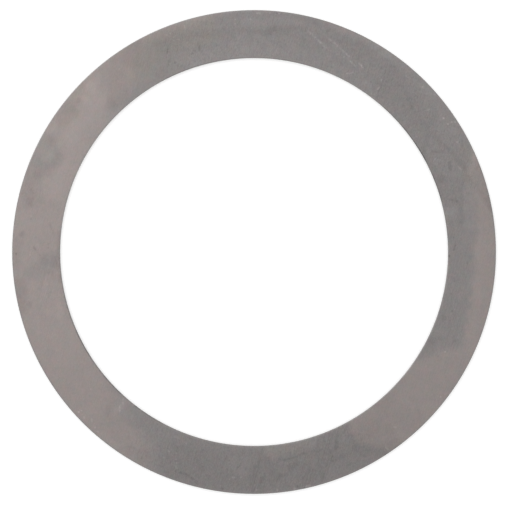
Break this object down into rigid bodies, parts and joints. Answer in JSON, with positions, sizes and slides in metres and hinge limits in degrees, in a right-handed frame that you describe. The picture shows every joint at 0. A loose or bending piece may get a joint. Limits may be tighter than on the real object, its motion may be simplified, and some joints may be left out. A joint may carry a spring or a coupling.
{
  "type": "shim ring",
  "caption": "Flat thin steel ring, packed between a shoulder and a bearing or housing on a shaft to take up end play and set axial position.",
  "frame": {"origin": "on the ring's axis, at its lower face", "axes": "+Z along the ring's axis, out of the face that the die touched first, whose edges are rolled over; X and Y are alike"},
  "size_m": [0.0998, 0.0998, 0.001],
  "materials": {
    "bare_steel": "bare cold-rolled strip steel, satin, with rolling grain, a thin warm film in soft patches and light handling scratches"
  },
  "bodies": {
    "root": {"shim_ring": "bare_steel"}
  },
  "joints": []
}
